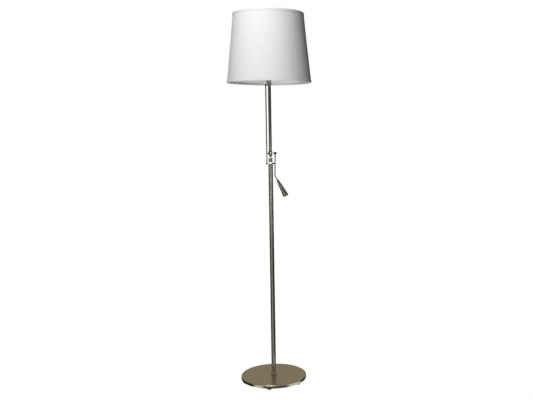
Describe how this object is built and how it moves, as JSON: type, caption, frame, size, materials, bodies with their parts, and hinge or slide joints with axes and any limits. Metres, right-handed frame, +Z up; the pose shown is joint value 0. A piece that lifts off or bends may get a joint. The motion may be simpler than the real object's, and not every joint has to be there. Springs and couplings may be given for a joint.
{
  "type": "tilting arm floor lamp",
  "caption": "Floor lamp with a round weighted base, a slim mast, a lever-tilted upper arm with a parallel rod, and a tapered drum shade that stays level.",
  "frame": {"origin": "centre of the round base, on the floor", "axes": "+Z up along the mast, +Y towards the back, +X to the right, where the lever is"},
  "size_m": [0.3518, 0.3518, 1.557],
  "materials": {
    "satin_nickel": "satin nickel plate with a fine brushed grain",
    "dark_nickel": "darker polished nickel plate",
    "bright_chrome": "bright chrome plate",
    "zinc_steel": "zinc-plated steel",
    "cast_iron": "bare cast iron",
    "black_rubber": "matt black rubber",
    "black_plastic": "moulded black plastic",
    "white_plastic": "moulded white plastic",
    "brass": "stamped brass",
    "white_wire": "white enamelled steel wire",
    "shade_cloth": "white woven cloth on a stiff liner",
    "hem_tape": "folded white cloth tape"
  },
  "bodies": {
    "stand": {"base_cover": "satin_nickel", "base_weight": "cast_iron", "rubber_feet": "black_rubber", "cord_inlet": "black_plastic", "mast_stud": "zinc_steel", "stud_washer": "zinc_steel", "stud_nut": "zinc_steel", "mast_foot_collar": "satin_nickel", "mast_bush": "zinc_steel", "mast_tube": "satin_nickel", "mast_head": "satin_nickel", "knuckle_collar": "satin_nickel", "knuckle_screw": "zinc_steel", "rod_pin_shaft": "bright_chrome", "rod_pin_spacers": "bright_chrome", "rod_pin_dome": "dark_nickel"},
    "arm": {"arm_fork": "satin_nickel", "arm_tube": "satin_nickel", "arm_top_eye": "satin_nickel", "arm_pin": "bright_chrome", "arm_pin_cap": "dark_nickel", "arm_pin_washer": "bright_chrome", "lever_hub": "dark_nickel", "lever_wire": "satin_nickel", "lever_grip": "satin_nickel"},
    "rod": {"parallel_rod": "satin_nickel", "rod_lower_ball": "dark_nickel", "rod_upper_eye": "dark_nickel"},
    "carrier": {"carrier_bracket": "satin_nickel", "carrier_pin": "bright_chrome", "rod_top_pin": "bright_chrome", "rod_top_spacer": "bright_chrome", "holder_nipple": "zinc_steel", "holder_cap": "white_plastic", "holder_skirt": "white_plastic", "socket_insert": "white_plastic", "socket_contact": "brass", "socket_shell": "brass", "shade_ring_lower": "white_plastic", "shade_ring_upper": "white_plastic", "shade_cover": "shade_cloth", "shade_hem_bottom": "hem_tape", "shade_hem_top": "hem_tape", "shade_bottom_ring": "white_wire", "shade_top_ring": "white_wire", "shade_fitter": "white_wire"}
  },
  "joints": [
    {"name": "arm_tilt", "type": "hinge", "parent": "stand", "child": "arm", "pos_m": [0, 0, 0.979], "axis": [1, 0, 0], "range_deg": [0, 75]},
    {"name": "rod_swing", "type": "hinge", "parent": "stand", "child": "rod", "pos_m": [-0.0146, -0.01, 0.937], "axis": [1, 0, 0], "range_deg": [0, 75]},
    {"name": "shade_level", "type": "hinge", "parent": "arm", "child": "carrier", "pos_m": [0, 0, 1.306], "axis": [1, 0, 0], "range_deg": [-75, 0]}
  ],
  "couplings": [
    {"joint": "rod_swing", "follows": "arm_tilt", "ratio": 1},
    {"joint": "shade_level", "follows": "arm_tilt", "ratio": -1}
  ]
}
